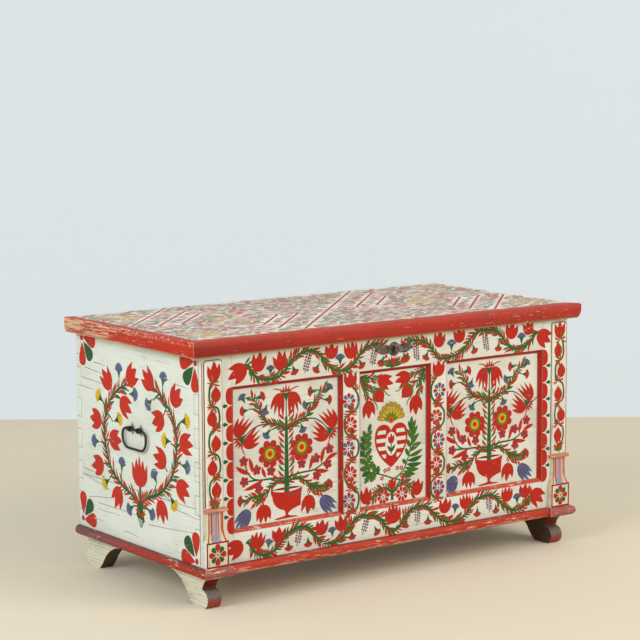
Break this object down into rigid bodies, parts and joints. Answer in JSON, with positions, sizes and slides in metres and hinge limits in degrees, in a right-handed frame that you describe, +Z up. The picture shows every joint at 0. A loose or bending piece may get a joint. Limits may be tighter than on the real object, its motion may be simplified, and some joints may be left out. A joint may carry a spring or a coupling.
{
  "type": "chest",
  "caption": "Painted wooden blanket chest with a hinged moulded lid, panelled front, fluted corner pilasters, bracket feet, bail handles and a plate lock.",
  "frame": {"origin": "on the floor, under the middle of the chest's whole box", "axes": "+Z up, X along the front with +X to the right of someone who faces it, -Y out of the front"},
  "size_m": [1.248, 0.6412, 0.66],
  "materials": {
    "white_painted_wood": "cream-white distemper on pine, painted with flowers, cracked along the grain and worn",
    "patterned_wood": "cream paint with a red and green all-over pattern, worn",
    "red_painted_wood": "red paint on pine, rubbed through to a pale ground and wood along the edges",
    "bare_wood": "unpainted old pine, aged brown",
    "grey_iron": "thin sheet iron, dull grey with brown age",
    "dark_iron": "forged iron, dark brown-black and lightly rusted"
  },
  "bodies": {
    "case": {"back_board_lower": "bare_wood", "back_board_upper": "bare_wood", "bail_eyes_left": "dark_iron", "bail_eyes_right": "dark_iron", "bail_roses": "dark_iron", "base_moulding_corner_left": "red_painted_wood", "base_moulding_corner_right": "red_painted_wood", "base_moulding_front": "red_painted_wood", "base_moulding_side_left": "red_painted_wood", "base_moulding_side_right": "red_painted_wood", "bottom_board_1": "bare_wood", "bottom_board_2": "bare_wood", "bottom_board_3": "bare_wood", "case_nails": "dark_iron", "case_strap_left": "dark_iron", "case_strap_right": "dark_iron", "escutcheon": "grey_iron", "escutcheon_tacks": "grey_iron", "foot_front_left": "white_painted_wood", "foot_front_right": "white_painted_wood", "foot_rear_left": "white_painted_wood", "foot_rear_right": "white_painted_wood", "frame_bottom_rail": "white_painted_wood", "frame_muntin_left": "white_painted_wood", "frame_muntin_right": "white_painted_wood", "frame_stile_left": "white_painted_wood", "frame_stile_right": "white_painted_wood", "frame_top_rail": "white_painted_wood", "front_board_lower": "white_painted_wood", "front_board_upper": "white_painted_wood", "hinge_pin_left": "dark_iron", "hinge_pin_right": "dark_iron", "lock_bridges": "dark_iron", "lock_plate": "dark_iron", "lock_spring": "dark_iron", "pilaster_cap_left": "red_painted_wood", "pilaster_cap_right": "red_painted_wood", "pilaster_console_left": "white_painted_wood", "pilaster_console_right": "white_painted_wood", "pilaster_strip_left": "white_painted_wood", "pilaster_strip_right": "white_painted_wood", "side_board_lower_left": "white_painted_wood", "side_board_lower_right": "white_painted_wood", "side_board_upper_left": "white_painted_wood", "side_board_upper_right": "white_painted_wood", "till_bottom": "bare_wood", "till_side": "bare_wood"},
    "lid": {"lid_board_1": "patterned_wood", "lid_board_2": "patterned_wood", "lid_board_3": "patterned_wood", "lid_moulding_front": "red_painted_wood", "lid_moulding_left": "red_painted_wood", "lid_moulding_right": "red_painted_wood", "lid_strap_left": "dark_iron", "lid_strap_right": "dark_iron", "lid_hasp": "dark_iron", "lid_nails": "dark_iron"},
    "left_handle": {"bail_left": "dark_iron"},
    "right_handle": {"bail_right": "dark_iron"},
    "bolt": {"lock_bolt": "dark_iron"}
  },
  "joints": [
    {"name": "lid_hinge", "type": "hinge", "parent": "case", "child": "lid", "pos_m": [0, 0.31415, 0.6282], "axis": [-1, 0, 0], "range_deg": [0, 100]},
    {"name": "left_handle_swing", "type": "hinge", "parent": "case", "child": "left_handle", "pos_m": [-0.5988, 0.00735, 0.403], "axis": [0, 1, 0], "range_deg": [-4, 184]},
    {"name": "right_handle_swing", "type": "hinge", "parent": "case", "child": "right_handle", "pos_m": [0.5988, 0.00735, 0.403], "axis": [0, -1, 0], "range_deg": [-4, 184]},
    {"name": "bolt_slide", "type": "slide", "parent": "case", "child": "bolt", "axis": [1, 0, 0], "range_m": [0, 0.014]}
  ]
}
